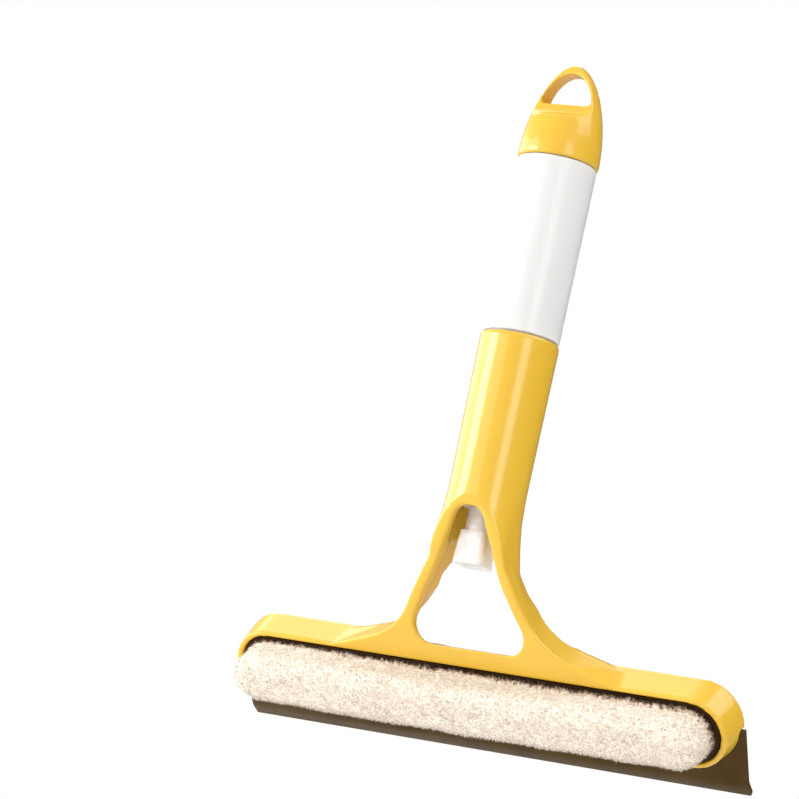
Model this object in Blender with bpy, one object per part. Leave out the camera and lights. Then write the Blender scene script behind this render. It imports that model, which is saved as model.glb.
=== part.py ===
"""Window squeegee with a spray bottle in its handle, a sponge pad and a rubber blade.

Lengths below are millimetres. X runs along the blade, Z up the handle's axis and -Y to the
side that faces the user, where the pad is. The origin is the top of the hang loop's hole.
"""
from math import atan2, copysign, cos, pi, radians, sin, tan

import bmesh
import bpy
from mathutils import Matrix, Vector

MM = 0.001
GAP = 0.3
ROUND_STEPS = 48
FINE_STEPS = 24
THROUGH = 40

# Heights on the handle, measured from the level of the blade's tip
HOOK_Z = 288.4
SLEEVE_TOP = 170.0
SLEEVE_FOOT = 70.0
LEDGE_Z = 112.2
BOTTLE_TOP = 248.3
CAP_TOP = 292.9

# Handle radii
SLEEVE_R = 17.2
SLEEVE_LOW_R = 16.7
SLEEVE_BORE = 15.5
THROAT_R = 11.9
BOTTLE_R = 17.2
PLUG_R = 15.1
BOTTLE_WALL = 1.2
CAP_R = 17.8
CAP_ROUNDNESS = 1.85

# The yoke's front leans back by one angle and the head below it by another
WEB_TILT = radians(20.4)
WEB_Y, WEB_Z = -21.5, 110.0
HEAD_TILT = radians(35.8)
HEAD_Y, HEAD_Z = 19.1, 29.2
YOKE_DEPTH = 14.0
LEG_WALL = 2.2
SILL_RISE = radians(8)

# Head, in its own frame: x along the blade, v down its face, w into it
RECESS_HALF = 114.8
RECESS_HEIGHT = 28.0
RECESS_DEPTH = 8.0
TRAY_DEPTH = 16.0
FLOOR_BACK = 12.2
ROOT_HALF = 116.0
ROOT_TOP = 2.5
ROOT_BOTTOM = 15.5
CORNER_R = 14.0
SEAT_R = 11.5

BLADE_HALF = 120.0
BLADE_THICK = 2.5
BLADE_TIP = 47.4
CLAMP_THICK = 3.7
SCREW_XS = (-90.0, -30.0, 30.0, 90.0)
SCREW_V = 8.0
SINK = 1.8

PAD_HALF = 111.0
PAD_HEIGHT = 23.0
PAD_FRONT = -17.0
PAD_EDGE = 7.5
PILE = 2.4
PLATE_HALF = 114.2
PLATE_HEIGHT = 26.8


def clear_scene():
    for item in list(bpy.data.objects):
        bpy.data.objects.remove(item, do_unlink=True)


def material(name, colour, roughness, metallic=0.0, alpha=1.0):
    made = bpy.data.materials.new(name)
    made.use_nodes = True
    shader = made.node_tree.nodes["Principled BSDF"]
    shader.inputs["Base Color"].default_value = (*colour, 1.0)
    shader.inputs["Roughness"].default_value = roughness
    shader.inputs["Metallic"].default_value = metallic
    shader.inputs["Alpha"].default_value = alpha
    return made


def frame_empty(name, matrix, parent=None):
    """An empty that carries the axes in which a group of pieces is drawn."""
    empty = bpy.data.objects.new(name, None)
    bpy.context.collection.objects.link(empty)
    empty.parent = parent
    empty.matrix_local = matrix
    return empty


def axes(origin, x_axis, y_axis):
    """Matrix whose columns are x_axis, y_axis and their cross product, at origin."""
    x_axis, y_axis = Vector(x_axis), Vector(y_axis)
    turn = Matrix((x_axis, y_axis, x_axis.cross(y_axis))).transposed().to_4x4()
    return Matrix.Translation(Vector(origin) * MM) @ turn


def new_object(name, bm, parent, look=None):
    bmesh.ops.recalc_face_normals(bm, faces=bm.faces)
    mesh = bpy.data.meshes.new(name)
    bm.to_mesh(mesh)
    bm.free()
    mesh.shade_smooth()
    mesh.set_sharp_from_angle(angle=radians(35))
    made = bpy.data.objects.new(name, mesh)
    bpy.context.collection.objects.link(made)
    made.parent = parent
    if look:
        mesh.materials.append(look)
    return made


def turned_by(point, angle):
    x, y = point
    return Vector((x * cos(angle) - y * sin(angle), x * sin(angle) + y * cos(angle)))


def rounded(corners, steps=6):
    """Outline through the corners (x, y, radius), each replaced by an arc of its radius."""
    outline = []
    for index, (x, y, radius) in enumerate(corners):
        here = Vector((x, y))
        if not radius:
            outline.append(here)
            continue
        back = (Vector(corners[index - 1][:2]) - here).normalized()
        ahead = (Vector(corners[(index + 1) % len(corners)][:2]) - here).normalized()
        half = back.angle(ahead) / 2
        centre = here + (back + ahead).normalized() * radius / sin(half)
        start = here + back * radius / tan(half) - centre
        end = here + ahead * radius / tan(half) - centre
        sweep = atan2(start.cross(end), start.dot(end))
        outline += [centre + turned_by(start, sweep * step / steps) for step in range(steps + 1)]
    return outline


def mirrored(half):
    """A closed set of corners from its +x half, listed from the middle line to the middle line."""
    return half + [(-x, y, radius) for x, y, radius in reversed(half)]


def slab(half_length, top, height, radius):
    """Corners of a rounded rectangle that starts at v = top and is centred on x = 0."""
    return mirrored([(half_length, top, radius), (half_length, top + height, radius)])


def loft(name, sections, parent, look=None):
    """Closed solid through (outline, height) sections that have equal numbers of points."""
    bm = bmesh.new()
    rings = [[bm.verts.new((x * MM, y * MM, height * MM)) for x, y in outline]
             for outline, height in sections]
    bm.faces.new(rings[0])
    bm.faces.new(rings[-1])
    for low, high in zip(rings, rings[1:]):
        for index in range(len(low)):
            bm.faces.new((low[index - 1], low[index], high[index], high[index - 1]))
    return new_object(name, bm, parent, look)


def prism(name, outline, low, high, parent, look=None):
    return loft(name, [(outline, low), (outline, high)], parent, look)


def turned(name, profile, parent, look=None, steps=ROUND_STEPS):
    """Closed solid of revolution about local Z from a closed profile of (radius, height)."""
    bm = bmesh.new()
    rings = []
    for radius, height in profile:
        if radius == 0:
            rings.append([bm.verts.new((0, 0, height * MM))] * steps)
            continue
        around = [2 * pi * step / steps for step in range(steps)]
        rings.append([bm.verts.new((radius * cos(a) * MM, radius * sin(a) * MM, height * MM))
                      for a in around])
    for index, ring in enumerate(rings):
        below = rings[index - 1]
        for step in range(steps):
            corners = [below[step - 1], below[step], ring[step], ring[step - 1]]
            corners = list(dict.fromkeys(corners))
            if len(corners) > 2:
                bm.faces.new(corners)
    return new_object(name, bm, parent, look)


def combine(target, tool, operation):
    """Boolean on target; the tool stays in the file as a wire that nothing renders."""
    step = target.modifiers.new(tool.name, "BOOLEAN")
    step.operation = operation
    step.solver = "EXACT"
    step.object = tool
    tool.hide_render = True
    tool.display_type = "WIRE"


def cut(target, *tools):
    for tool in tools:
        combine(target, tool, "DIFFERENCE")


def plane_point(y, z, tilt, down, depth):
    """World (y, z) of a point that lies down a tilted plane from (y, z), and behind it by depth."""
    return (y + down * sin(tilt) + depth * cos(tilt), z - down * cos(tilt) + depth * sin(tilt))


def web_point(down, depth):
    return plane_point(WEB_Y, WEB_Z, WEB_TILT, down, depth)


def head_point(down, depth):
    return plane_point(HEAD_Y, HEAD_Z, HEAD_TILT, down, depth)


def front_knee():
    """World (y, z) where the yoke's front plane meets the head's front plane."""
    top_y = WEB_Y + WEB_Z * tan(WEB_TILT)
    low_y = HEAD_Y + HEAD_Z * tan(HEAD_TILT)
    z = (low_y - top_y) / (tan(HEAD_TILT) - tan(WEB_TILT))
    return top_y - z * tan(WEB_TILT), z


def side_outline():
    """The moulding seen from its side, in (y, z): everything outside it is trimmed off."""
    wide = 24.0
    return rounded([
        (-wide, SLEEVE_TOP + 5, 0),
        (-wide, WEB_Z + (wide + WEB_Y) / tan(WEB_TILT), 0),
        (*front_knee(), 60),
        (*head_point(60, 0), 0),
        (*head_point(60, 22), 0),
        (*head_point(-8.8, 22), 0),
        (*head_point(-9.8, YOKE_DEPTH), 2),
        (*head_point(-30, YOKE_DEPTH), 34),
        (wide, SLEEVE_FOOT + 28, 0),
        (wide, SLEEVE_TOP + 5, 0),
    ])


def leg_side():
    """The legs seen from their side, in (y, z): a bent strip that runs up into the sleeve."""
    return rounded([
        (*web_point(5, -8), 0), (*web_point(60, -8), 0), (*head_point(3, -8), 0),
        (*head_point(3, YOKE_DEPTH + 2), 0), (*head_point(-30, YOKE_DEPTH + 2), 0),
        (*web_point(36, YOKE_DEPTH), 0), (*web_point(5, YOKE_DEPTH), 0),
    ])


def yoke_outline(back=0.0):
    """Both legs as one solid sheet, in (x, distance down the yoke's plane).

    back is 0 for the legs' front and 1 for their back, which is narrower and flares out sooner.
    """
    return rounded(mirrored([
        (6.0 - 3 * back, 16, 0), (14.5 - 3 * back, 35, 30), (25.3 - 4.2 * back, 57 - 2 * back, 0),
        (31.5 - 2 * back, 69.5 - 3 * back, 30), (41 - back, 78.8 - 3 * back, 34),
        (74, 90.5 - 5 * back, 0), (74, 98, 0),
    ]), 10)


def yoke_sheet(name, frames, wall=0.0):
    """Both legs as one solid, smaller by wall on each side."""
    front, back = ([(x - copysign(wall, x), v) for x, v in yoke_outline(share)] for share in (0, 1))
    return loft(name, [(front, -12), (front, 8), (back, 20), (back, THROUGH)], frames["web"])


def foot_section(front_half, back_half, back, radius):
    """Level section of the sleeve's foot, where the round tube turns into two flat legs."""
    return rounded(mirrored([(front_half, -SLEEVE_LOW_R, radius), (back_half, back, radius)]), 12)


def sleeve_foot(frames):
    """Solid between the tube and the legs, so that the sides run on without a step."""
    level = SLEEVE_LOW_R - 0.01
    return loft("sleeve_foot", [
        (foot_section(level, level, level, level - 0.01), 103.0),
        (foot_section(16.3, 16.8, 16.6, 15.0), 92.0),
        (foot_section(16.3, 18.0, 15.8, 12.0), 82.0),
        (foot_section(17.2, 19.2, 13.8, 7.0), 71.5),
        (foot_section(19.6, 21.7, 13.6, 4.0), 62.0),
        (foot_section(22.0, 24.6, 12.6, 3.0), 56.0),
    ], frames["handle"])


def behind_front():
    """The space behind the legs' front wall, in (y, z): the wall is thin low down and thicker above."""
    foot_y, foot_z = head_point(-8.4, 2.4)
    floor_back = foot_z + (THROUGH - foot_y) * tan(SILL_RISE)
    return rounded([
        (*web_point(24, 11.5), 0), (*web_point(48, 5.8), 20), (foot_y, foot_z, 0),
        (THROUGH, floor_back, 0), (THROUGH, SLEEVE_TOP - 60, 0), (10, SLEEVE_TOP - 70, 0),
    ])


def window_outline(grow=0.0):
    """The triangle between the legs, in (x, z); grow widens it evenly."""
    arch, knee, corner = (5.5, 94.7), (15.8, 65.0), (31.0, 34.4)
    return rounded(mirrored([
        (arch[0] + grow, arch[1] + grow, 6.5),
        (knee[0] + grow, knee[1], 30),
        (corner[0] + 2.2 * grow, corner[1], 8),
    ]), steps=8)


def moulding(frames, look):
    """Sleeve, yoke and head, one plastic moulding."""
    body = turned("body_moulding", [
        (SLEEVE_LOW_R - 5, 102), (SLEEVE_LOW_R, 102), (SLEEVE_LOW_R, WEB_Z),
        (SLEEVE_R, SLEEVE_TOP - 1.2), (SLEEVE_R - 0.35, SLEEVE_TOP - 0.35),
        (SLEEVE_R - 1.2, SLEEVE_TOP), (SLEEVE_BORE, SLEEVE_TOP), (SLEEVE_BORE, LEDGE_Z),
        (SLEEVE_LOW_R - 5, LEDGE_Z),
    ], frames["handle"], look, steps=64)
    yoke = yoke_sheet("yoke_sheet", frames)
    combine(yoke, prism("leg_trim", leg_side(), -130, 130, frames["side"]), "INTERSECT")
    tray = loft("head_block", [
        (rounded(slab(117.3, -1.6, 31.2, 15.5), 16), -1.0),
        (rounded(slab(119.2, -4.4, 35.4, 17.4), 16), TRAY_DEPTH)], frames["head"])
    combine(body, sleeve_foot(frames), "UNION")
    combine(body, yoke, "UNION")
    combine(body, tray, "UNION")
    trim = prism("side_trim", side_outline(), -130, 130, frames["side"])
    combine(body, trim, "INTERSECT")
    cut(body, *moulding_hollows(frames))


def moulding_hollows(frames):
    """Cutters for the bores, the window, the pad recess, the blade seat and the screw pilots."""
    yield turned("sleeve_bore", rod(SLEEVE_BORE, LEDGE_Z, SLEEVE_TOP + 10), frames["handle"], steps=64)
    yield turned("throat_bore", rod(THROAT_R, SLEEVE_FOOT + 1, LEDGE_Z + 3), frames["handle"])
    yield prism("window_hole", window_outline(), -THROUGH, THROUGH, frames["window"])
    hollow = loft("leg_hollow", [(window_outline(6), -THROUGH), (window_outline(3), 16)], frames["window"])
    combine(hollow, prism("behind_legs", behind_front(), -60, 60, frames["side"]), "INTERSECT")
    combine(hollow, yoke_sheet("inside_legs", frames, LEG_WALL), "INTERSECT")
    yield hollow
    yield prism("pad_recess", rounded(slab(RECESS_HALF, 0, RECESS_HEIGHT, CORNER_R - 0.01), 12),
                -THROUGH, RECESS_DEPTH, frames["head"])
    seat = rounded(mirrored([(ROOT_HALF + 0.4, ROOT_TOP - 0.4, SEAT_R + 0.4), (ROOT_HALF + 0.4, 60, 0)]), 8)
    yield prism("blade_seat", seat, FLOOR_BACK, THROUGH, frames["head"])
    ends = [(-140, 15.7), (140, 15.7), (140, 62), (-140, 62)]
    yield prism("blade_way_out", ends, FLOOR_BACK + 0.01, THROUGH, frames["head"])
    for index, x in enumerate(SCREW_XS):
        yield screw_hole(f"pilot_{index + 1}", frames["head"], x, 1.75, 9.4)


def screw_hole(name, parent, x, radius, start, end=THROUGH):
    """Cutter round a screw's axis, from depth start to depth end."""
    tool = turned(name, rod(radius, start, end), parent, steps=16)
    tool.location = (x * MM, SCREW_V * MM, 0)
    return tool


def blade(frames, look):
    """Rubber wiper: a root that is clamped in the head, and a lip that kicks back at its tip."""
    front = FLOOR_BACK + GAP
    back = front + BLADE_THICK
    lip = rounded([
        (ROOT_BOTTOM + 0.4, front, 0), (BLADE_TIP - 6.0, front, 8), (BLADE_TIP, front + 3.6, 0),
        (BLADE_TIP - 1.2, front + 5.5, 0.8), (BLADE_TIP - 7.2, back, 6), (ROOT_BOTTOM + 0.4, back, 0),
    ])
    rubber = prism("blade", lip, -BLADE_HALF, BLADE_HALF, frames["section"], look)
    root = rounded(mirrored([(ROOT_HALF, ROOT_TOP, SEAT_R), (ROOT_HALF, ROOT_BOTTOM + 3, 0)]), 8)
    combine(rubber, prism("blade_root", root, front + 0.02, back - 0.02, frames["head"]), "UNION")
    for index, x in enumerate(SCREW_XS):
        cut(rubber, screw_hole(f"blade_hole_{index + 1}", frames["head"], x, 1.8, 5))
    return rubber


def clamp(frames, look):
    """Strip screwed on behind the blade's root."""
    front = FLOOR_BACK + BLADE_THICK + 2 * GAP
    back = front + CLAMP_THICK
    outline = rounded(mirrored([(ROOT_HALF, ROOT_TOP, SEAT_R), (ROOT_HALF, 26, 3)]), 8)
    strip = prism("blade_clamp", outline, front, back, frames["head"], look)
    for index, x in enumerate(SCREW_XS):
        stepped = [(0, 5), (1.8, 5), (1.8, back - SINK), (3.2, back - SINK), (3.2, THROUGH), (0, THROUGH)]
        hole = turned(f"clamp_hole_{index + 1}", stepped, frames["head"], steps=16)
        hole.location = (x * MM, SCREW_V * MM, 0)
        cut(strip, hole)


def screws(frames, look):
    """Pan-head screws that pull the clamp and the blade's root against the head."""
    seat = FLOOR_BACK + BLADE_THICK + 2 * GAP + CLAMP_THICK - SINK + GAP
    for index, x in enumerate(SCREW_XS):
        screw = turned(f"clamp_screw_{index + 1}", [
            (0, 9.8), (0.9, 9.8), (1.4, 10.8), (1.4, seat), (2.8, seat), (2.8, seat + 0.7),
            (2.2, seat + 1.2), (0, seat + 1.2)], frames["head"], look, steps=20)
        screw.location = (x * MM, SCREW_V * MM, 0)


def pad_slab(name, half, height, low, high, frames, look):
    """Flat stadium-shaped layer centred on the recess."""
    outline = rounded(slab(half, (RECESS_HEIGHT - height) / 2, height, height / 2 - 0.01), 12)
    return prism(name, outline, low, high, frames["pad"], look)


def pad_layers(frames, looks):
    """Sponge in its pile cover, the backing plate and the two halves of the tape fastening."""
    pad_slab("hook_tape", 106, 20, 6.8, RECESS_DEPTH - GAP, frames, looks["tape"])
    pad_slab("loop_tape", 106, 20, 5.6, 6.5, frames, looks["tape"])
    plate = pad_slab("pad_plate", PLATE_HALF, PLATE_HEIGHT, 1.0, 5.3, frames, looks["dark"])
    well = pad_slab("plate_well", PAD_HALF + 0.5, PAD_HEIGHT + 1.0, -5, 3.4, frames, None)
    cut(plate, well)
    cover = pad_block("pile_cover", 0, 3.1, frames, looks["pile"])
    cut(cover, pad_block("cover_hollow", PILE, 5, frames))
    pad_block("sponge_core", PILE + GAP, 3.1, frames, looks["sponge"])


def pad_block(name, shrink, back, frames, look=None):
    """The pad's crowned block, smaller by shrink all round, from its rounded front to depth back."""
    layers = []
    for step in range(7):
        angle = step * pi / 12
        inset = shrink + PAD_EDGE * (1 - sin(angle))
        layers.append((pad_outline(inset), PAD_FRONT + shrink + PAD_EDGE * (1 - cos(angle))))
    layers.append((pad_outline(shrink), back))
    return loft(name, layers, frames["pad"], look)


def pad_outline(inset):
    """Stadium of the pad, drawn in by inset."""
    height = PAD_HEIGHT - 2 * inset
    return rounded(slab(PAD_HALF - inset, (RECESS_HEIGHT - height) / 2, height, height / 2 - 0.01), 10)


def bottle(frames, look):
    """Blow-moulded bottle: its lower half plugs into the sleeve, its open top takes the cap."""
    neck_r, throat = 14.6, 13.2
    inner = BOTTLE_R - BOTTLE_WALL
    turned("bottle", [
        (neck_r, BOTTLE_TOP + 9.0), (neck_r, BOTTLE_TOP + 0.3), (BOTTLE_R - 0.5, BOTTLE_TOP),
        (BOTTLE_R, BOTTLE_TOP - 0.6), (16.8, SLEEVE_TOP + 1.2), (16.5, SLEEVE_TOP + 0.5),
        (PLUG_R, SLEEVE_TOP + 0.5), (PLUG_R, LEDGE_Z + 2), (PLUG_R - 1.2, LEDGE_Z + 0.5),
        (9.0, LEDGE_Z), (9.0, 98.6), (6.6, 98.6), (6.6, LEDGE_Z + 1.5),
        (PLUG_R - BOTTLE_WALL, LEDGE_Z + 3), (PLUG_R - BOTTLE_WALL, SLEEVE_TOP + 1),
        (15.6, SLEEVE_TOP + 2.5), (inner, BOTTLE_TOP - 1.5), (throat, BOTTLE_TOP - 0.5),
        (throat, BOTTLE_TOP + 9.0)], frames["handle"], look, steps=64)


def cap_radius(z):
    """Half-width of the cap's rounded end at height z above its straight skirt."""
    start = 250.0
    if z <= start:
        return CAP_R
    share = min(1.0, (z - start) / (CAP_TOP - start))
    return CAP_R * (1 - share ** CAP_ROUNDNESS) ** (1 / CAP_ROUNDNESS)


def loop_half_width(z):
    """Half-width of the hang hole at height z."""
    middle = 271.0
    share = min(1.0, (z - middle) / (HOOK_Z - middle))
    return 12.6 * (1 - share ** CAP_ROUNDNESS) ** (1 / CAP_ROUNDNESS)


def end_cap(frames, looks):
    """Screw cap that thins to a flat hang loop."""
    foot = BOTTLE_TOP + 0.3
    levels = [250 + (CAP_TOP - 250) * sin(step * pi / 28) for step in range(14)]
    outside = [(0, CAP_TOP)] + [(cap_radius(z), z) for z in reversed(levels)]
    cavity = [(15.0, foot), (15.0, 258.5), (11.5, 258.5), (11.5, 262), (0, 263.5)]
    cap = turned("end_cap", outside + [(CAP_R - 0.2, foot)] + cavity, frames["handle"],
                 looks["yellow"], steps=64)
    hole_foot = 273.8
    curve_foot = hole_foot + 1.8
    foot_half = loop_half_width(curve_foot)
    heights = [curve_foot + (HOOK_Z - curve_foot) * sin(step * pi / 20) for step in range(11)]
    half = [(foot_half - 1.8, hole_foot), (foot_half - 0.5, hole_foot + 0.6)]
    half += [(loop_half_width(z), z) for z in heights]
    hole = half + [(-x, z) for x, z in reversed(half[:-1])]
    flat = rounded([(-30, 262.5, 0), (-6, 268.5, 9), (-3, 297, 0), (-30, 297, 0)], 8)
    cut(cap, prism("hang_hole", hole, -THROUGH, THROUGH, frames["front"]),
        prism("loop_front_cut", flat, -THROUGH, THROUGH, frames["side"]),
        prism("loop_back_cut", [(-y, z) for y, z in flat], -THROUGH, THROUGH, frames["side"]))
    turned("cap_gasket", ring(13.2, 14.5, 257.6, 258.2), frames["handle"], looks["rubber"])


def ring(inner, outer, low, high):
    """Profile of a plain ring."""
    return [(inner, high), (outer, high), (outer, low), (inner, low)]


def rod(radius, low, high):
    """Profile of a plain round bar, used for bores."""
    return [(0, low), (radius, low), (radius, high), (0, high)]


def sprayer(frames, looks):
    """Finger pump on the bottle's neck; its button points down into the yoke's window."""
    handle = frames["handle"]
    collar = [(11.3, 108.5), (11.3, 95.6), (10.7, 95.0), (5.2, 95.0), (5.2, 91.5), (4.0, 91.5),
              (4.0, 96.4), (9.4, 96.4), (9.4, 108.5)]
    turned("pump_collar", collar, handle, looks["white"])
    turned("neck_gasket", ring(5.0, 8.8, 97.8, 98.3), handle, looks["rubber"])
    housing = [(3.0, 128.0), (3.0, 120.4), (4.7, 117.6), (4.7, 97.5), (8.8, 97.5), (8.8, 96.7),
               (3.7, 96.7), (3.7, 116.4), (1.15, 116.4), (1.15, 116.9), (1.9, 116.9), (1.9, 120.6),
               (0.9, 120.6), (0.9, 122.0), (2.0, 122.0), (2.0, 128.0)]
    turned("pump_housing", housing, handle, looks["white"], FINE_STEPS)
    turned("dip_tube", ring(1.1, 1.7, 122.3, 243.0), handle, looks["clear"], 16)
    turned("stem_retainer", ring(2.1, 3.4, 97.0, 101.2), handle, looks["white"], FINE_STEPS)
    stem = [(2.8, 107.6), (2.8, 106.8), (1.8, 106.8), (1.8, 102.5), (2.8, 102.5), (2.8, 101.5),
            (1.8, 101.5), (1.8, 85.0), (0.8, 85.0), (0.8, 107.6)]
    turned("pump_stem", stem, handle, looks["white"], FINE_STEPS)
    turned("piston_seal", ring(2.1, 3.4, 102.8, 106.5), handle, looks["rubber"], FINE_STEPS)
    spring(frames, looks["steel"])
    ball = bmesh.new()
    bmesh.ops.create_icosphere(ball, subdivisions=2, radius=1.3 * MM)
    new_object("check_ball", ball, handle, looks["steel"]).location = (0, 0, 118.0 * MM)
    button(frames, looks)
    mist_cap(frames, looks["clear"])


def spring(frames, look):
    """Return spring between the stem's end and the top of the pump's cylinder."""
    low, high, wire, coil, turns, steps = 108.3, 115.9, 0.3, 2.6, 5, 14
    curve = bpy.data.curves.new("pump_spring", "CURVE")
    curve.dimensions = "3D"
    curve.bevel_depth = wire * MM
    curve.bevel_resolution = 1
    curve.use_fill_caps = True
    path = curve.splines.new("POLY")
    count = turns * steps
    path.points.add(count)
    for index, point in enumerate(path.points):
        angle = 2 * pi * index / steps
        z = low + (high - low) * index / count
        point.co = (coil * cos(angle) * MM, coil * sin(angle) * MM, z * MM, 1)
    curve.materials.append(look)
    made = bpy.data.objects.new("pump_spring", curve)
    bpy.context.collection.objects.link(made)
    made.parent = frames["handle"]


def button(frames, looks):
    """Pump button with the mist nozzle in its front."""
    press = turned("spray_button", [
        (0, 84.6), (2.1, 84.6), (2.1, 91.2), (3.6, 91.2), (3.6, 87.3), (4.6, 86.9), (4.6, 76.8),
        (4.0, 76.0), (2.4, 76.4), (0, 76.7)], frames["handle"], looks["white"], FINE_STEPS)
    seat = turned("nozzle_seat", rod(2.3, 2.4, 8), frames["nozzle"], steps=20)
    feed = turned("feed_channel", rod(0.8, 81.4, 85.5), frames["handle"], steps=12)
    cross = turned("cross_channel", rod(0.6, 0, 3), frames["nozzle"], steps=12)
    cut(press, seat, feed, cross)
    turned("mist_nozzle", ring(0.35, 2.0, 2.7, 4.5), frames["nozzle"], looks["white"], 20)


def mist_cap(frames, look):
    """Clear hood over the button: a flared rounded box with a round neck that slips on the collar."""
    box = [(rounded(box_corners(6.6, 7.4), 5), 70.0), (rounded(box_corners(6.0, 6.8), 5), 84.5)]
    hood = loft("mist_cap", box, frames["handle"], look)
    neck = turned("hood_neck", [(0, 79), (6.4, 79), (6.4, 94.0), (6.1, 94.6), (0, 94.6)], frames["handle"])
    combine(hood, neck, "UNION")
    inside = [(rounded(box_corners(5.7, 6.5), 5), 71.2), (rounded(box_corners(5.2, 6.0), 5), 83.6)]
    cut(hood, loft("hood_inside", inside, frames["handle"]),
        turned("neck_inside", rod(5.6, 82, 97), frames["handle"]))


def box_corners(half_x, half_y, radius=1.8):
    return [(half_x, half_y, radius), (-half_x, half_y, radius),
            (-half_x, -half_y, radius), (half_x, -half_y, radius)]


def build():
    clear_scene()
    root = frame_empty("squeegee", Matrix.Translation((0, 0, -HOOK_Z * MM)))
    down_web = (0, sin(WEB_TILT), -cos(WEB_TILT))
    down_head = (0, sin(HEAD_TILT), -cos(HEAD_TILT))
    into_head = (0, cos(HEAD_TILT), sin(HEAD_TILT))
    head_origin = (0, HEAD_Y, HEAD_Z)
    places = {
        "handle": axes((0, 0, 0), (1, 0, 0), (0, 1, 0)),
        "front": axes((0, 0, 0), (1, 0, 0), (0, 0, 1)),
        "side": axes((0, 0, 0), (0, 1, 0), (0, 0, 1)),
        "web": axes((0, WEB_Y, WEB_Z), (1, 0, 0), down_web),
        "window": axes((0, 0, 0), (1, 0, 0), (0, -sin(SILL_RISE), cos(SILL_RISE))),
        "head": axes(head_origin, (1, 0, 0), down_head),
        "pad": axes(head_origin, (1, 0, 0), down_head),
        "section": axes(head_origin, down_head, into_head),
        "nozzle": axes((0, 0, 81.8), (1, 0, 0), (0, 0, 1)),
    }
    frames = {name: frame_empty(f"{name}_axes", place, root) for name, place in places.items()}
    looks = {
        "yellow": material("yellow_plastic", (0.90, 0.60, 0.12), 0.28),
        "bottle": material("milky_plastic", (0.86, 0.86, 0.84), 0.30, alpha=0.8),
        "white": material("white_plastic", (0.85, 0.84, 0.82), 0.35),
        "clear": material("clear_plastic", (0.90, 0.90, 0.88), 0.12, alpha=0.35),
        "dark": material("dark_brown_plastic", (0.035, 0.020, 0.012), 0.45),
        "rubber": material("brown_rubber", (0.085, 0.055, 0.030), 0.42),
        "pile": material("cream_pile", (0.84, 0.76, 0.66), 0.95),
        "sponge": material("yellow_sponge", (0.80, 0.68, 0.42), 0.95),
        "tape": material("black_tape", (0.03, 0.03, 0.03), 0.9),
        "steel": material("spring_steel", (0.60, 0.60, 0.62), 0.3, metallic=1.0),
    }
    moulding(frames, looks["yellow"])
    blade(frames, looks["rubber"])
    clamp(frames, looks["yellow"])
    screws(frames, looks["steel"])
    pad_layers(frames, looks)
    bottle(frames, looks["bottle"])
    end_cap(frames, looks)
    sprayer(frames, looks)


build()
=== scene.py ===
"""Looks of the window squeegee: moulded shell, plush pad, milky bottle, rubber and studio."""
from math import atan2, cos, pi, radians, sin, sqrt

import bmesh
import bpy
import numpy as np
from mathutils import Matrix, Vector


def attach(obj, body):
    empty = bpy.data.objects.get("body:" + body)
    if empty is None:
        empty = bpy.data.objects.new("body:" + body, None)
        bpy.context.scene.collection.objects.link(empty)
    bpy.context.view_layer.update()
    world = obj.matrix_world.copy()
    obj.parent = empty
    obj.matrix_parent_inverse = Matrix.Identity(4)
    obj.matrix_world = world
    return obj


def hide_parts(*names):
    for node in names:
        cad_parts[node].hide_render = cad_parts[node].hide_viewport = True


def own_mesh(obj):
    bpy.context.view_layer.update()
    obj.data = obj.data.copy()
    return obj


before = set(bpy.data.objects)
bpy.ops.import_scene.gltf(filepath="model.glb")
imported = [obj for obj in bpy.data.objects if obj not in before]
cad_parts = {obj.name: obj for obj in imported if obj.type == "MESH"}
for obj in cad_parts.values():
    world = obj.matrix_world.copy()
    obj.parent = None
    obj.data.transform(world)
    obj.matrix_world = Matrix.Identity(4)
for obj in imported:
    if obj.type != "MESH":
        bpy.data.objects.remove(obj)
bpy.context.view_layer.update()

# Lengths and heights of the object are in millimetres, and times MM they are Blender's metres
MM = 0.001
HOOK_Z = 288.4      # height of the frame's origin, which is in the hang loop
SEED = 7

# The head's own axes: x along the blade, v down its face, w into it, all in millimetres
HEAD_TILT = radians(35.8)
HEAD_Y, HEAD_Z = 19.1, 29.2
HEAD_DOWN = Vector((0, sin(HEAD_TILT), -cos(HEAD_TILT)))
HEAD_IN = Vector((0, cos(HEAD_TILT), sin(HEAD_TILT)))
HEAD_ORIGIN = Vector((0, HEAD_Y, HEAD_Z - HOOK_Z))

SCREW_XS = (-90.0, -30.0, 30.0, 90.0)
SCREW_V = 8.0
SCREW_SEAT = 17.5
SCREW_TURN = 37.0   # degrees that each cross recess is turned on from the one before
SCREW_SLOT = (3.0 * MM, 0.55 * MM, 1.5 * MM)

# The pad's block in the head's axes, and the fibres that stand out of it
PAD_HALF = 111.0
PAD_HEIGHT = 23.0
PAD_MIDDLE = 14.0
PAD_FRONT = -17.0
PAD_BACK = 3.1
PAD_EDGE = 7.5
PAD_AROUND = 700    # points in each ring round the pad
PILE = 2.4
FIBRE_STAND = 1.1
FIBRES = 18500      # in each of the pieces
FIBRE_PIECES = 2
FIBRE_LENGTHS = (0.7, 1.6)
FIBRE_WIDTHS = (0.10, 0.17)
FIBRE_ROOT = 0.5    # how far a fibre starts below the surface
# Corners 0 to 2 are a fibre's root, 3 to 5 its bend and 6 its tip
FIBRE_FACES = [(2, 1, 0), (0, 1, 4, 3), (1, 2, 5, 4), (2, 0, 3, 5), (3, 4, 6), (4, 5, 6), (5, 3, 6)]
# Painted shade and light along each fibre: its root corners darker, its bend a little darker and
# its tip lighter
FIBRE_PAINTED_SHADING = np.array([0.75] * 3 + [0.92] * 3 + [1.08])

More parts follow.
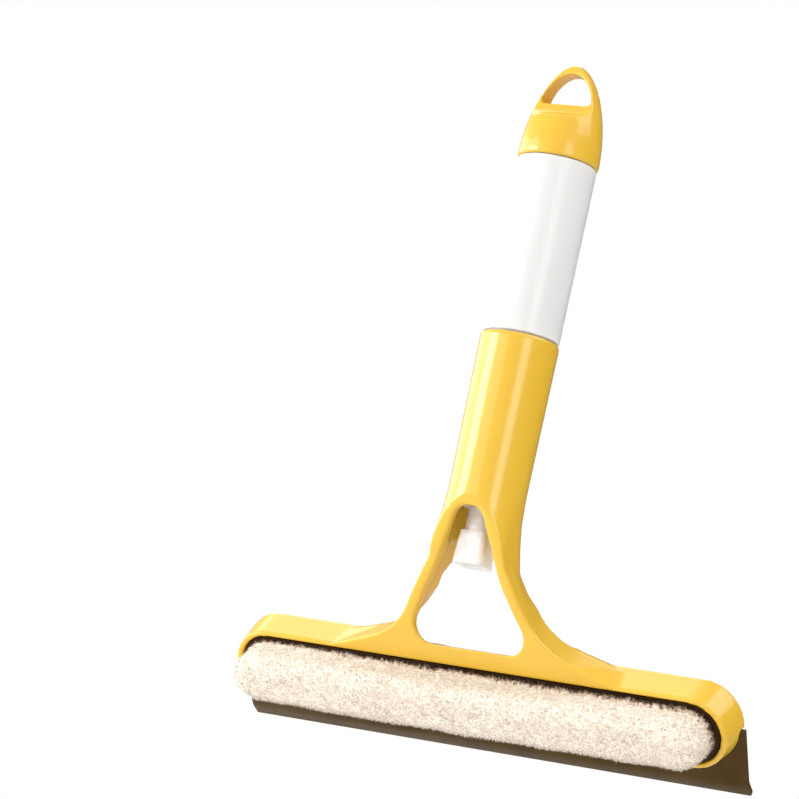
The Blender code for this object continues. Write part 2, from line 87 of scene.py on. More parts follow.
CAMERA_AZIMUTH = radians(28.511)
CAMERA_ELEVATION = -9.970
CAMERA_ROLL = radians(12.342)
CAMERA_DISTANCE = 1.6001
CAMERA_LENS = 169.72
AIM = Vector((0, 0, -0.1584))
AIM_RIGHT = 0.043115
AIM_UP = -0.012819
AMBIENT = 0.75
AMBIENT_DIM = 0.12
DIM_AZIMUTH = 120
FLOOR_Z = -0.50


def head_point(x, v, w):
    """A place in the head's axes, in metres."""
    return (Vector((x, 0, 0)) + HEAD_ORIGIN + HEAD_DOWN * v + HEAD_IN * w) * MM


# ---------------------------------------------------------------- materials

def set_range(node, from_low, from_high, to_low, to_high):
    """Set what a Map Range node reads and what it gives."""
    for key, number in (("From Min", from_low), ("From Max", from_high),
                        ("To Min", to_low), ("To Max", to_high)):
        node.inputs[key].default_value = number


class Nodes:
    """Short forms for building a procedural material round one Principled shader."""

    def __init__(self, name):
        self.material = bpy.data.materials.new(name)
        self.material.use_nodes = True
        self.tree = self.material.node_tree
        self.shader = self.tree.nodes["Principled BSDF"]
        self.place = self.add("ShaderNodeTexCoord").outputs["Object"]

    def add(self, kind, **settings):
        node = self.tree.nodes.new(kind)
        for key, value in settings.items():
            setattr(node, key, value)
        return node

    def link(self, source, target):
        self.tree.links.new(source, target)

    def set(self, **values):
        for key, value in values.items():
            self.shader.inputs[key.replace("_", " ")].default_value = value

    def feed(self, **sources):
        """Link a source to each of the shader's sockets that is named."""
        for key, source in sources.items():
            self.link(source, self.shader.inputs[key.replace("_", " ")])

    def noise(self, scale, detail=2.0, roughness=0.5, place=None):
        node = self.add("ShaderNodeTexNoise")
        node.inputs["Scale"].default_value = scale
        node.inputs["Detail"].default_value = detail
        node.inputs["Roughness"].default_value = roughness
        self.link(place or self.place, node.inputs["Vector"])
        return node.outputs["Fac"]

    def spread(self, value, low, high, at_low=0.35, at_high=0.65):
        """A value between low and high that follows the given one between two levels."""
        node = self.add("ShaderNodeMapRange")
        set_range(node, at_low, at_high, low, high)
        self.link(value, node.inputs["Value"])
        return node.outputs["Result"]

    def cells(self, scale):
        """Distance to the middle of the nearest of many small cells."""
        node = self.add("ShaderNodeTexVoronoi")
        node.inputs["Scale"].default_value = scale
        self.link(self.place, node.inputs["Vector"])
        return node.outputs["Distance"]

    def ramp(self, value, *stops):
        """Colour that runs through (position, colour) stops as the value rises."""
        node = self.add("ShaderNodeValToRGB")
        spots = node.color_ramp.elements
        while len(spots) < len(stops):
            spots.new(0.5)
        for spot, (position, colour) in zip(spots, stops):
            spot.position = position
            spot.color = (*colour, 1)
        self.link(value, node.inputs["Fac"])
        return node.outputs["Color"]

    def bump(self, height, distance, strength=1.0, after=None):
        node = self.add("ShaderNodeBump")
        node.inputs["Strength"].default_value = strength
        node.inputs["Distance"].default_value = distance
        self.link(height, node.inputs["Height"])
        if after:
            self.link(after, node.inputs["Normal"])
        return node.outputs["Normal"]

    def stretched(self, x, y, z):
        node = self.add("ShaderNodeMapping")
        node.inputs["Scale"].default_value = (x, y, z)
        self.link(self.place, node.inputs["Vector"])
        return node.outputs["Vector"]


def yellow_plastic():
    """Glossy polypropylene: barely uneven colour, a soft depth and a faint moulded ripple."""
    look = Nodes("yellow_plastic")
    ripple = look.bump(look.noise(60, 2), 0.00025, 0.12)
    look.feed(
        Base_Color=look.ramp(look.noise(28, 3),
                             (0.3, (0.715, 0.435, 0.035)), (0.7, (0.735, 0.455, 0.040))),
        Roughness=look.spread(look.noise(420, 3), 0.15, 0.23),
        Normal=look.bump(look.noise(1900, 2), 0.00002, 0.25, ripple))
    look.set(Subsurface_Weight=0.12, Subsurface_Radius=(0.004, 0.002, 0.0006), Subsurface_Scale=1.0,
             Specular_IOR_Level=0.55)
    return look.material


def milky_plastic():
    """Translucent bottle wall, cloudy, with a soft satin surface."""
    look = Nodes("milky_plastic")
    look.feed(
        Base_Color=look.ramp(look.noise(22, 2),
                             (0.3, (0.905, 0.903, 0.890)), (0.7, (0.925, 0.925, 0.912))),
        Roughness=look.spread(look.noise(300, 2), 0.28, 0.31),
        Normal=look.bump(look.noise(700, 2), 0.00002, 0.15))
    look.set(Subsurface_Weight=0.6, Subsurface_Radius=(0.008, 0.008, 0.008), Subsurface_Scale=1.0)
    return look.material


def clear_plastic():
    """Thin clear moulding that is half seen through, with a slight milky haze and ripple."""
    look = Nodes("clear_plastic")
    haze = look.noise(130, 3)
    look.feed(
        Base_Color=look.ramp(haze, (0.3, (0.95, 0.93, 0.93)), (0.7, (0.99, 0.97, 0.96))),
        Roughness=look.spread(haze, 0.16, 0.26),
        Alpha=look.spread(haze, 0.34, 0.44),
        Normal=look.bump(look.noise(160, 2), 0.0001, 0.2))
    return look.material


def white_plastic():
    """Moulded white pump parts with a fine satin grain."""
    look = Nodes("white_plastic")
    look.feed(
        Base_Color=look.ramp(look.noise(90, 3),
                             (0.3, (0.84, 0.83, 0.81)), (0.7, (0.90, 0.89, 0.88))),
        Roughness=look.spread(look.noise(600, 3), 0.28, 0.42),
        Normal=look.bump(look.noise(1500, 2), 0.00003, 0.3))
    look.set(Subsurface_Weight=0.15, Subsurface_Radius=(0.002, 0.002, 0.002), Subsurface_Scale=1.0)
    return look.material


def brown_rubber():
    """Dark wiper rubber with fine drawn lines along the blade and a dusty bloom."""
    look = Nodes("brown_rubber")
    lines = look.noise(1.0, 3, place=look.stretched(14, 900, 900))
    bloom = look.noise(55, 4, 0.6)
    fine = look.bump(look.noise(1600, 2), 0.00003, 0.4)
    look.feed(
        Base_Color=look.ramp(bloom, (0.35, (0.058, 0.034, 0.011)), (0.75, (0.090, 0.054, 0.019))),
        Roughness=look.spread(lines, 0.36, 0.50),
        Normal=look.bump(lines, 0.00006, 0.35, fine))
    look.set(Specular_IOR_Level=0.1, Specular_Tint=(1.0, 0.70, 0.40, 1.0))
    return look.material


def dark_plastic():
    """Almost black brown backing plate with a matt grain."""
    look = Nodes("dark_plastic")
    grain = look.noise(1400, 3)
    look.feed(
        Base_Color=look.ramp(look.noise(80, 3),
                             (0.3, (0.022, 0.009, 0.003)), (0.7, (0.038, 0.017, 0.006))),
        Roughness=look.spread(grain, 0.5, 0.65),
        Normal=look.bump(grain, 0.00006, 0.5))
    look.set(Specular_IOR_Level=0.15, Specular_Tint=(1.0, 0.70, 0.45, 1.0))
    return look.material


def plush():
    """Cream pile. The mesh's own "tone" runs from 0 at the pile's foot, painted near black brown as
    shade, to 1 at the pile's tips.
    """
    look = Nodes("plush")
    tone = look.add("ShaderNodeAttribute", attribute_name="tone").outputs["Fac"]
    # Painted shade: the pile runs from near black brown at its foot by the plate through tan to
    # cream
    pile = look.ramp(tone, (0.0, (0.045, 0.014, 0.004)), (0.22, (0.20, 0.09, 0.035)),
                     (0.50, (0.74, 0.58, 0.44)), (0.85, (0.96, 0.88, 0.78)))
    specks = look.ramp(look.noise(1100, 1.5), (0.34, (0.74, 0.68, 0.61)), (0.46, (1.0, 1.0, 1.0)))
    mix = look.add("ShaderNodeMix", data_type="RGBA", blend_type="MULTIPLY")
    mix.inputs["Factor"].default_value = 1.0
    look.link(pile, mix.inputs["A"])
    look.link(specks, mix.inputs["B"])
    look.feed(Base_Color=mix.outputs["Result"], Normal=look.bump(look.noise(2600, 3), 0.00015, 0.6))
    look.set(Roughness=0.9, Specular_IOR_Level=0.25,
             Sheen_Weight=0.35, Sheen_Roughness=0.4, Sheen_Tint=(1.0, 0.96, 0.94, 1.0))
    return look.material


def tape_look():
    """Black hook-and-loop tape: a ground with many tiny hooks."""
    look = Nodes("tape")
    hooks = look.cells(700)
    look.feed(
        Base_Color=look.ramp(hooks, (0.1, (0.075, 0.070, 0.066)), (0.6, (0.012, 0.011, 0.010))),
        Normal=look.bump(hooks, 0.0004, 0.9))
    look.set(Roughness=0.85)
    return look.material


def sponge_look():
    """Yellow foam with open cells."""
    look = Nodes("open_sponge")
    holes = look.cells(650)
    look.feed(
        Base_Color=look.ramp(holes, (0.05, (0.80, 0.70, 0.44)), (0.6, (0.50, 0.38, 0.18))),
        Normal=look.bump(holes, 0.0008, 0.9))
    look.set(Roughness=0.95)
    return look.material


def steel():
    """Plated steel with fine turning scratches."""
    look = Nodes("plated_steel")
    scratches = look.noise(1.0, 3, place=look.stretched(300, 300, 2600))
    look.feed(
        Base_Color=look.ramp(scratches, (0.3, (0.50, 0.50, 0.51)), (0.7, (0.68, 0.68, 0.70))),
        Roughness=look.spread(scratches, 0.18, 0.36),
        Normal=look.bump(scratches, 0.00002, 0.3))
    look.set(Metallic=1.0)
    return look.material


# ---------------------------------------------------------------- mesh tools

def placed(name, data):
    """A new object in the scene."""
    item = bpy.data.objects.new(name, data)
    bpy.context.collection.objects.link(item)
    return item


def new_piece(name, mesh, look, body, slot, *nodes):
    """A finished object that rides on a body and stands for CAD nodes."""
    piece = placed(name, mesh)
    mesh.materials.clear()
    mesh.materials.append(look)
    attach(piece, body)
    if nodes:
        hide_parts(*nodes)
    return piece


def cad_solid(node):
    """A closed bmesh of a CAD node, with the corners that its facets share joined up."""
    bm = bmesh.new()
    bm.from_mesh(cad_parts[node].data)
    bmesh.ops.remove_doubles(bm, verts=bm.verts, dist=0.002 * MM)
    return bm


def as_mesh(name, bm, sharp=None):
    """The bmesh as a smooth mesh, with the edges beyond an angle in degrees kept sharp."""
    bmesh.ops.recalc_face_normals(bm, faces=bm.faces)
    mesh = bpy.data.meshes.new(name)
    bm.to_mesh(mesh)
    bm.free()
    mesh.shade_smooth()
    if sharp:
        mesh.set_sharp_from_angle(angle=radians(sharp))
    return mesh


def reshaped(mesh, *steps):
    """The mesh after a list of modifiers, each (kind, {setting: value})."""
    carrier = placed("carrier", mesh)
    for kind, settings in steps:
        step = carrier.modifiers.new(kind.lower(), kind)
        for key, value in settings.items():
            setattr(step, key, value)
    bpy.context.view_layer.update()
    final = carrier.evaluated_get(bpy.context.evaluated_depsgraph_get())
    result = bpy.data.meshes.new_from_object(final)
    bpy.data.objects.remove(carrier)
    result.shade_smooth()
    return result


def moulded(name, node, voxel, rounds, keep=1.0):
    """A CAD node's shape with every edge softened as a mould leaves it."""
    steps = [("REMESH", {"mode": "VOXEL", "voxel_size": voxel * MM}),
             ("SMOOTH", {"factor": 0.5, "iterations": rounds})]
    if keep < 1:
        steps.append(("DECIMATE", {"ratio": keep}))
    return reshaped(as_mesh(name, cad_solid(node)), *steps)


def bevelled(name, node, width):
    """A CAD node's shape with a narrow round on its sharp edges."""
    settings = {"width": width * MM, "segments": 2, "limit_method": "ANGLE",
                "angle_limit": radians(35), "use_clamp_overlap": True}
    mesh = reshaped(as_mesh(name, cad_solid(node)), ("BEVEL", settings))
    mesh.set_sharp_from_angle(angle=radians(50))
    return mesh


def angles(steps):
    return [2 * pi * step / steps for step in range(steps)]


def skin(bm, rings):
    """Faces between each ring of corners and the next."""
    for below, above in zip(rings, rings[1:]):
        for step in range(len(above)):
            bm.faces.new((below[step - 1], below[step], above[step], above[step - 1]))


def turned(name, profile, steps):
    """Closed solid of revolution about the handle from (radius, height) points in millimetres."""
    bm = bmesh.new()
    rings = [[bm.verts.new((r * cos(a) * MM, r * sin(a) * MM, (z - HOOK_Z) * MM))
              for a in angles(steps)] for r, z in profile]
    skin(bm, [rings[-1]] + rings)
    return as_mesh(name, bm, sharp=50)


def rounded_profile(points, radius, steps=4):
    """A closed (radius, height) profile with rounded corners, less so where two are close."""
    soft = []
    for index, point in enumerate(points):
        here = Vector(point)
        back = Vector(points[index - 1]) - here
        ahead = Vector(points[(index + 1) % len(points)]) - here
        reach = min(radius, back.length * 0.45, ahead.length * 0.45)
        start, end = here + back.normalized() * reach, here + ahead.normalized() * reach
        for step in range(steps + 1):
            share = step / steps
            pull = 2 * share * (1 - share)
            soft.append(start * (1 - share) ** 2 + here * pull + end * share ** 2)
    return soft


def carved(mesh, *cutters):
    """The mesh after cutting the cutter meshes out of it."""
    tools = []
    for cutter in cutters:
        tool = placed("cutter", cutter)
        tools.append(("BOOLEAN", {"operation": "DIFFERENCE", "solver": "EXACT", "object": tool}))
    result = reshaped(mesh, *tools)
    for _, settings in tools:
        bpy.data.objects.remove(settings["object"])
    result.set_sharp_from_angle(angle=radians(40))
    return result


def repaint(look, *nodes):
    """CAD nodes keep their shape and get this material."""
    for node in nodes:
        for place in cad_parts[node].material_slots:
            place.material = look


def cube_at(place, x_axis, y_axis, size):
    """A small box mesh at a place, used only as a cutter."""
    bm = bmesh.new()
    bmesh.ops.create_cube(bm, size=1.0)
    turn = Matrix((x_axis, y_axis, x_axis.cross(y_axis))).transposed().to_4x4()
    bmesh.ops.transform(bm, verts=bm.verts,
                        matrix=Matrix.Translation(place) @ turn @ Matrix.Diagonal((*size, 1)))
    return as_mesh("cutter", bm)


# ---------------------------------------------------------------- hard pieces

def add_shell(looks):
    shell = moulded("moulded_shell", "body_moulding", voxel=0.62, rounds=14, keep=0.5)
    new_piece("moulded_shell", shell, looks["yellow"], "shell", "yellow_plastic", "body_moulding")
    strip = bevelled("clamp_strip", "blade_clamp", width=0.45)
    new_piece("clamp_strip", strip, looks["yellow"], "shell", "yellow_plastic", "blade_clamp")
    rubber = bevelled("wiper_blade", "blade", width=0.25)
    new_piece("wiper_blade", rubber, looks["rubber"], "shell", "brown_rubber", "blade")
    for index, x in enumerate(SCREW_XS):
        add_screw(f"clamp_screw_{index + 1}", x, index * SCREW_TURN, looks["steel"])


def add_screw(node, x, turn, look):
    """Pan-head screw with a cross recess, done up to its own angle."""
    seat, tip, point, shank, head, rise = SCREW_SEAT, 9.8, 0.9, 1.4, 2.8, 1.2
    profile = rounded_profile([
        (0.02, tip), (point, tip), (shank, tip + 1.0), (shank, seat), (head, seat),
        (head, seat + rise / 2), (head - 0.7, seat + rise), (0.02, seat + rise + 0.05)], 0.25)
    bm = bmesh.new()
    rings = [[bm.verts.new(head_point(x + r * cos(a), SCREW_V + r * sin(a), w))
              for a in angles(40)] for r, w in profile]
    skin(bm, rings)
    bm.faces.new(rings[0])
    bm.faces.new(rings[-1])
    top = head_point(x, SCREW_V, seat + rise)
    slots = []
    for angle in (radians(turn), radians(turn + 90)):
        along = Vector((cos(angle), 0, 0)) + HEAD_DOWN * sin(angle)
        across = Vector((-sin(angle), 0, 0)) + HEAD_DOWN * cos(angle)
        slots.append(cube_at(top, along, across, SCREW_SLOT))
    screw = carved(as_mesh(node, bm), *slots)
    new_piece(f"cross_{node}", screw, look, "shell", "steel", node)


def add_cap(looks):
    cap = moulded("end_cap_shell", "end_cap", voxel=0.42, rounds=8)
    new_piece("end_cap_shell", cap, looks["yellow"], "cap", "yellow_plastic", "end_cap")


def add_bottle(looks):
    """Milky bottle: the same walls as in the CAD, with rounded shoulders and rims."""
    outer, inner, plug, wall = 17.2, 16.0, 15.1, 1.2
    mouth_outer, mouth_inner, mouth_top, shoulder = 14.6, 13.2, 257.3, 248.6
    neck_outer, neck_inner, neck_foot = 9.0, 6.6, 98.6
    step, ledge = 170.5, 112.2
    profile = rounded_profile([
        (mouth_outer, mouth_top), (mouth_outer, shoulder), (outer - 0.5, 248.3), (outer, 247.7),
        (16.8, 171.2), (16.5, step), (plug, step), (plug, ledge + 2), (plug - wall, ledge + 0.5),
        (neck_outer, ledge), (neck_outer, neck_foot), (neck_inner, neck_foot),
        (neck_inner, ledge + 1.5), (plug - wall, ledge + 3), (plug - wall, 171.0), (15.6, 172.5),
        (inner, 246.8), (mouth_inner, 247.8), (mouth_inner, mouth_top)], 0.7)
    bottle = turned("milky_bottle", profile, 128)
    new_piece("milky_bottle", bottle, looks["milky"], "bottle_unit", "milky_plastic", "bottle")
    bore, tube_outer, low, high = 1.1, 1.7, 122.3, 243.0
    profile = [(bore, high), (tube_outer, high), (tube_outer, low), (bore, low)]
    tube = turned("suction_tube", rounded_profile(profile, 0.2), 40)
    new_piece("suction_tube", tube, looks["clear"], "bottle_unit", "clear_plastic", "dip_tube")


def ribbed_collar():
    """The pump's screw collar, with a finger grip of upright ribs between its rims."""
    outer, inner, top, foot = 11.3, 9.4, 108.5, 95.0
    spout, bore, spout_foot, floor = 5.2, 4.0, 91.5, 96.4
    collar = turned("ribbed_collar", rounded_profile([
        (outer, top), (outer, foot + 0.6), (outer - 0.6, foot), (spout, foot), (spout, spout_foot),
        (bore, spout_foot), (bore, floor), (inner, floor), (inner, top)], 0.4), 180)
    ribs, groove, rim = 36, 0.25, 0.4
    for vertex in collar.vertices:
        radius = sqrt(vertex.co.x ** 2 + vertex.co.y ** 2) / MM
        height = vertex.co.z / MM + HOOK_Z
        if radius > outer - rim and foot + 0.9 < height < top - 0.1:
            angle = atan2(vertex.co.y, vertex.co.x)
            shrink = 1 - groove * (0.5 - 0.5 * cos(angle * ribs)) / radius
            vertex.co.x *= shrink
            vertex.co.y *= shrink
    return collar


def add_sprayer(looks):
    new_piece("ribbed_collar", ribbed_collar(), looks["white"], "bottle_unit", "white_plastic",
              "pump_collar")
    hood = moulded("clear_hood", "mist_cap", voxel=0.28, rounds=5)
    new_piece("clear_hood", hood, looks["clear"], "mist_hood", "clear_plastic", "mist_cap")
    press = moulded("press_button", "spray_button", voxel=0.2, rounds=4)
    new_piece("press_button", press, looks["white"], "pump_button", "white_plastic", "spray_button")
    repaint(looks["white"], "pump_housing", "stem_retainer", "pump_stem", "mist_nozzle")
    add_spring(looks["steel"])
    repaint(looks["steel"], "check_ball")
    repaint(looks["rubber"], "neck_gasket", "piston_seal", "cap_gasket")


def add_spring(look):
    """Return spring with closer coils at its ends."""
    low, high, wire, coil, turns, steps, closing = 108.3, 115.9, 0.3, 2.6, 5, 28, 0.6
    curve = bpy.data.curves.new("coil_path", "CURVE")
    curve.dimensions = "3D"
    curve.bevel_depth = wire * MM
    curve.bevel_resolution = 2
    curve.use_fill_caps = True
    path = curve.splines.new("POLY")
    path.points.add(turns * steps)
    for index, point in enumerate(path.points):
        share = index / (turns * steps)
        rise = share - closing * sin(2 * pi * share) / (2 * pi)
        angle = 2 * pi * index / steps
        height = low + wire + (high - low - 2 * wire) * rise - HOOK_Z
        point.co = (coil * cos(angle) * MM, coil * sin(angle) * MM, height * MM, 1)
    carrier = placed("coil_path", curve)
    mesh = bpy.data.meshes.new_from_object(carrier)
    bpy.data.objects.remove(carrier)
    mesh.shade_smooth()
    spring = new_piece("return_spring", mesh, look, "bottle_unit", "steel", "pump_spring")
    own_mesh(spring)


# ---------------------------------------------------------------- pad

def lattice_noise(points, cell, seed):
    """Smooth noise from 0 to 1 at points in millimetres, with one random value per cell corner."""
    values = 4096
    table = np.random.default_rng(seed).random(values)
    scaled = points / cell
    low = np.floor(scaled).astype(int)
    share = scaled - low
    share = share * share * (3 - 2 * share)
    total = np.zeros(points.shape[:-1])
    for corner in np.ndindex(2, 2, 2):
        spot = low + corner
        key = (spot @ np.array([7919, 104729, 1299709])) % values
        weight = np.prod(np.where(corner, share, 1 - share), axis=-1)
        total += weight * table[key]
    return total


def pad_rings():
    """The pad's outer surface as a grid of rings: places and outward normals in the head's axes."""
    radius = PAD_HEIGHT / 2
    straight = 2 * (PAD_HALF - radius)
    length = 2 * straight + 2 * pi * radius
    along = np.arange(PAD_AROUND) * length / PAD_AROUND
    half = along % (length / 2)
    turn = np.clip((half - straight) / radius, 0, pi)
    side = np.where(along < length / 2, 1.0, -1.0)
    spine_x = side * (np.minimum(half, straight) - straight / 2)
    normal_x, normal_v = side * np.sin(turn), side * np.cos(turn)
    steps = np.linspace(0, 1, 18)
    wall = [(0.0, w) for w in PAD_BACK + (PAD_FRONT + PAD_EDGE - PAD_BACK) * steps]
    edge = [(PAD_EDGE * (1 - cos(a)), PAD_FRONT + PAD_EDGE * (1 - sin(a)))
            for a in steps[1:] * pi / 2]
    face = [(PAD_EDGE + (radius - PAD_EDGE) * share, PAD_FRONT) for share in steps[3::3]]
    face[-1] = (radius, PAD_FRONT)
    profile = np.array(wall + edge + face)
    slope = np.gradient(profile, axis=0)
    slope /= np.linalg.norm(slope, axis=1, keepdims=True)
    out, forward = -slope[:, 1], slope[:, 0]
    reach = radius - profile[:, 0]
    places = np.stack([spine_x + reach[:, None] * normal_x, PAD_MIDDLE + reach[:, None] * normal_v,
                       np.repeat(profile[:, 1:], PAD_AROUND, axis=1)], axis=-1)
    normals = np.stack([out[:, None] * normal_x, out[:, None] * normal_v,
                        np.repeat(-forward[:, None], PAD_AROUND, axis=1)], axis=-1)
    return places, normals


def sagged(places, normals):
    """The block as it really is: splayed at its foot, crowned in front, with uneven tufts."""
    most_splay, most_crown, most_ends = 2.0, 0.6, 2.2
    most_waves, most_tufts, most_fine = 0.7, 0.4, 0.25
    level = places[..., 2]
    near_foot = np.clip((0.9 - level) / 1.2, 0, 1) * np.exp(np.minimum(level, 0) / 3.0)
    splay = most_splay * near_foot
    depth = np.clip((PAD_BACK - level) / (PAD_BACK - PAD_FRONT), 0, 1)
    crown = most_crown * depth ** 2 * np.cos(np.clip(places[..., 0] / PAD_HALF, -1, 1) * pi / 2)
    ends = most_ends * depth * np.abs(normals[..., 0]) ** 3
    waves = most_waves * (lattice_noise(places, 13, SEED) - 0.5) * depth
    tufts = most_tufts * (lattice_noise(places, 1.3, SEED + 1) - 0.5)
    fine = most_fine * (lattice_noise(places, 0.8, SEED + 2) - 0.5)
    proud = splay + crown + ends + waves + tufts + fine - FIBRE_STAND
    return places + normals * proud[..., None]


def painted_foot_shade_and_tufts(places):
    """0 at the pile's foot by the plate, where painted shade darkens it most, rising to 1 on the
    pile, with lighter and darker tufts.

    The painted shade reaches a little further up towards the right end.
    """
    # Painted shade at the foot: how far up from the plate it reaches, further towards the right end
    reach = 4.8 + 1.5 * places[..., 0] / PAD_HALF
    rise = np.clip((0.6 - places[..., 2]) / reach, 0, 1)
    speckle = lattice_noise(places, 0.9, SEED + 3)
    tufts = lattice_noise(places, 1.4, SEED + 4)
    near = np.clip(rise * 1.9 - 0.2 + (speckle - 0.5) * 1.5, 0, 1)
    return near * (0.80 + 0.20 * tufts)


def to_world(places):
    """Rows of (x, v, w) in millimetres as places in metres."""
    turn = np.array([(1, 0, 0), HEAD_DOWN, HEAD_IN])
    return (places.reshape(-1, 3) @ turn + np.array(HEAD_ORIGIN)) * MM


def mesh_from(name, points, faces, tone):
    """A smooth mesh whose points carry the tone that the plush look reads."""
    mesh = bpy.data.meshes.new(name)
    mesh.from_pydata(points.tolist(), [], faces)
    tones = mesh.attributes.new("tone", "FLOAT", "POINT")
    tones.data.foreach_set("value", tone.astype(np.float32))
    mesh.shade_smooth()
    return mesh


def joined(mesh, distance):
    """The mesh with points that lie together made one, so rings that end on a line close up."""
    bm = bmesh.new()
    bm.from_mesh(mesh)
    bmesh.ops.remove_doubles(bm, verts=bm.verts, dist=distance * MM)
    bm.to_mesh(mesh)
    bm.free()
    return mesh


def add_pad(looks):
    places, normals = pad_rings()
    outer = sagged(places, normals)
    inner = (places - normals * (PILE + 0.2))[::4]
    inner[0, :, 2] = PAD_BACK
    shell = np.concatenate([outer[::-1], inner])
    count = len(shell)
    index = np.arange(count * PAD_AROUND).reshape(count, PAD_AROUND)
    faces = []
    for row, above in zip(index, index[1:]):
        faces += np.stack([row, np.roll(row, -1), np.roll(above, -1), above], axis=1).tolist()
    pad = mesh_from("plush_pad", to_world(shell), faces, painted_foot_shade_and_tufts(shell).ravel())
    pad = joined(pad, 0.004)
    piece = new_piece("plush_pad", pad, looks["plush"], "pad", "pile", "pile_cover")
    for number in range(FIBRE_PIECES):
        add_fibres(f"pile_fibres_{number + 1}", outer, normals, SEED + 20 + number, looks["plush"])
    core = moulded("sponge_block", "sponge_core", voxel=1.1, rounds=3)
    block = new_piece("sponge_block", core, looks["sponge"], "pad", "sponge", "sponge_core")
    plate = bevelled("backing_plate", "pad_plate", width=0.35)
    new_piece("backing_plate", plate, looks["dark"], "pad", "dark_plastic", "pad_plate")
    repaint(looks["tape"], "hook_tape", "loop_tape")


def cell_areas(places):
    """Area of each cell in the grid of rings, so that fibres can be spread evenly."""
    along = np.linalg.norm(np.roll(places, -1, axis=1) - places, axis=2)
    outward = np.linalg.norm(np.diff(places, axis=0), axis=2)
    return along[:-1] * outward


def add_fibres(name, places, normals, seed, look):
    """Thin tapered fibres that stand out of the pile, each a bent three-sided spike."""
    rng = np.random.default_rng(seed)
    areas = cell_areas(places).ravel()
    rows, columns = np.divmod(rng.choice(len(areas), FIBRES, p=areas / areas.sum()), PAD_AROUND)
    across, rise = rng.random((2, FIBRES, 1))
    beside = (columns + 1) % PAD_AROUND
    low = places[rows, columns] * across + places[rows, beside] * (1 - across)
    high = places[rows + 1, columns] * across + places[rows + 1, beside] * (1 - across)
    root = low * rise + high * (1 - rise)
    out = normals[rows, columns]
    lean = rng.normal(0, 0.4, (FIBRES, 3))
    clump = np.stack([lattice_noise(root, 1.6, seed + step) - 0.5 for step in (1, 2, 3)], axis=1)
    way = out + lean * 0.7 + clump * 0.9
    way /= np.linalg.norm(way, axis=1, keepdims=True)
    length = rng.uniform(*FIBRE_LENGTHS, (FIBRES, 1))
    side = np.cross(way, rng.normal(0, 1, (FIBRES, 3)))
    side /= np.linalg.norm(side, axis=1, keepdims=True)
    other = np.cross(way, side)
    width = rng.uniform(*FIBRE_WIDTHS, (FIBRES, 1))
    start = root - out * FIBRE_ROOT
    bend = root + way * length * 0.55
    tip = root + way * length + lean * 0.35 * length
    corners = []
    for centre, size in ((start, width), (bend, width * 0.7)):
        for angle in angles(3):
            corners.append(centre + (side * cos(angle) + other * sin(angle)) * size)
    corners.append(tip)
    points = np.stack(corners, axis=1)
    # Each fibre carries the painted foot shade where it stands, and painted shade along it from
    # root to tip
    tone = painted_foot_shade_and_tufts(root)[:, None] * FIBRE_PAINTED_SHADING
    faces = []
    for first in range(0, points.shape[0] * points.shape[1], points.shape[1]):
        faces += [[first + corner for corner in face] for face in FIBRE_FACES]
    mesh = mesh_from(name, to_world(points), faces, np.clip(tone, 0, 1).ravel())
    new_piece(name, mesh, look, "pad", "pile")


# ---------------------------------------------------------------- studio

def direction(azimuth, elevation):
    """Unit vector from the tool towards an azimuth, counted from the camera's, and an elevation."""
    turn = CAMERA_AZIMUTH + radians(azimuth)
    rise = radians(elevation)
    return Vector((sin(turn) * cos(rise), -cos(turn) * cos(rise), sin(rise)))


def add_camera():
    """The camera stands low, to the right of the head, and is rolled so the handle leans."""
    back = direction(0, CAMERA_ELEVATION)
    right = Vector((cos(CAMERA_AZIMUTH), sin(CAMERA_AZIMUTH), 0))
    up = back.cross(right)
    across = right * cos(CAMERA_ROLL) + up * sin(CAMERA_ROLL)
    upward = up * cos(CAMERA_ROLL) - right * sin(CAMERA_ROLL)
    place = AIM + back * CAMERA_DISTANCE - across * AIM_RIGHT - upward * AIM_UP
    camera = placed("camera", bpy.data.cameras.new("camera"))
    camera.data.lens = CAMERA_LENS
    camera.data.clip_start = 0.05
    turn = Matrix((across, upward, back)).transposed().to_4x4()
    camera.matrix_world = Matrix.Translation(place) @ turn
    bpy.context.scene.camera = camera


def add_softbox(name, azimuth, elevation, distance, size, radiance, colour=(1, 1, 1)):
    """Rectangular studio lamp that faces the tool and doesn't show itself."""
    lamp = bpy.data.lights.new(name, "AREA")
    lamp.shape = "RECTANGLE"
    lamp.size, lamp.size_y = size
    lamp.energy = radiance * pi * size[0] * size[1]
    lamp.color = colour
    light = placed(name, lamp)
    way = direction(azimuth, elevation)
    light.location = AIM + way * distance
    light.rotation_euler = way.to_track_quat("Z", "Y").to_euler()
    light.visible_camera = False


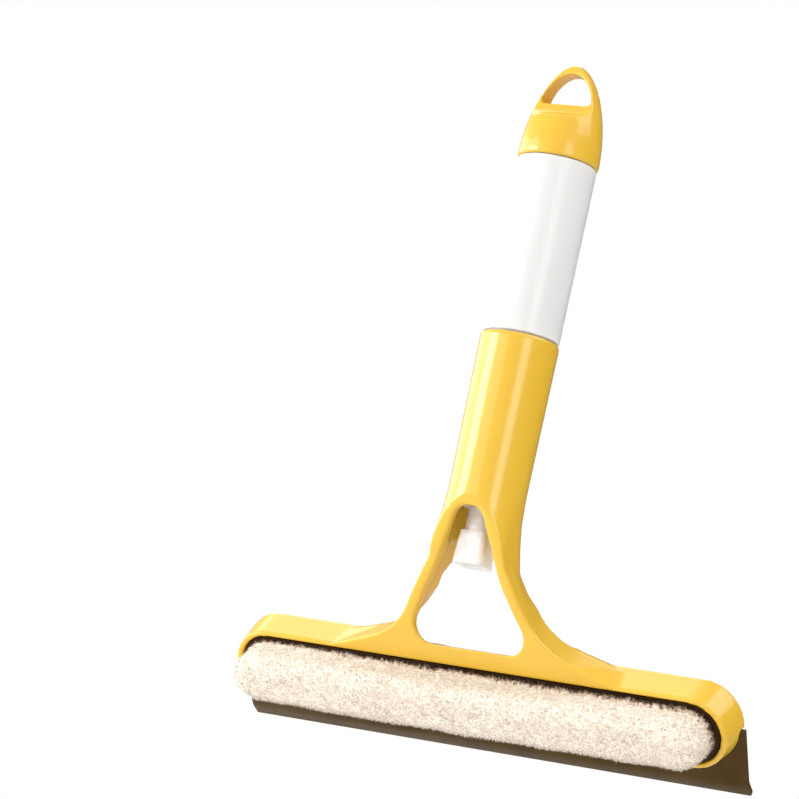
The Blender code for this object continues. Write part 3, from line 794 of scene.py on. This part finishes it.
def add_world():
    """White behind the tool, with soft grey light all round that is dimmer on the far right."""
    world = bpy.data.worlds.new("studio")
    bpy.context.scene.world = world
    world.use_nodes = True
    nodes, links = world.node_tree.nodes, world.node_tree.links
    place = nodes.new("ShaderNodeTexCoord")
    facing = nodes.new("ShaderNodeVectorMath")
    facing.operation = "DOT_PRODUCT"
    facing.inputs[1].default_value = direction(DIM_AZIMUTH, 0)
    fade = nodes.new("ShaderNodeMapRange")
    set_range(fade, -0.2, 0.75, AMBIENT, AMBIENT_DIM)
    path = nodes.new("ShaderNodeLightPath")
    seen = nodes.new("ShaderNodeMix")
    seen.data_type = "FLOAT"
    seen.inputs["B"].default_value = 1.0
    links.new(place.outputs["Generated"], facing.inputs[0])
    links.new(facing.outputs["Value"], fade.inputs["Value"])
    links.new(path.outputs["Is Camera Ray"], seen.inputs["Factor"])
    links.new(fade.outputs["Result"], seen.inputs["A"])
    background = nodes["Background"]
    background.inputs["Color"].default_value = (1, 1, 1, 1)
    links.new(seen.outputs["Result"], background.inputs["Strength"])


def add_floor():
    """A pale floor, below the camera so that it never comes between the two."""
    look = Nodes("pale_floor")
    look.feed(Base_Color=look.ramp(look.noise(3, 3), (0.3, (0.80, 0.80, 0.80)),
                                   (0.7, (0.84, 0.84, 0.84))))
    look.set(Roughness=0.8)
    bm = bmesh.new()
    bmesh.ops.create_grid(bm, x_segments=8, y_segments=8, size=6.0,
                          matrix=Matrix.Translation((0, 0, FLOOR_Z)))
    floor = placed("floor", as_mesh("floor", bm))
    floor.data.materials.append(look.material)


def add_studio():
    """Camera, world, floor and softboxes: azimuth, elevation, distance, size and radiance."""
    add_camera()
    add_world()
    add_floor()
    add_softbox("left_strip", -83, 10, 1.2, (0.62, 0.50), 10.0)
    add_softbox("left_back", -125, 10, 1.3, (1.1, 0.6), 3.0)
    add_softbox("left_front", -50, 10, 1.6, (0.9, 0.6), 1.6)
    add_softbox("right_strip", 21, 10, 2.2, (0.85, 0.95), 4.0, (1.0, 0.96, 0.90))
    add_softbox("top_right", 60, 52, 1.6, (1.2, 1.2), 3.0)
    add_softbox("rear_left", -160, 50, 1.3, (0.9, 0.9), 2.2)
    bpy.context.scene.view_settings.view_transform = "Standard"


def build():
    looks = {
        "yellow": yellow_plastic(), "milky": milky_plastic(), "clear": clear_plastic(),
        "white": white_plastic(), "rubber": brown_rubber(), "dark": dark_plastic(),
        "plush": plush(), "tape": tape_look(), "sponge": sponge_look(), "steel": steel(),
    }
    add_studio()
    add_shell(looks)
    add_cap(looks)
    add_bottle(looks)
    add_sprayer(looks)
    add_pad(looks)


build()
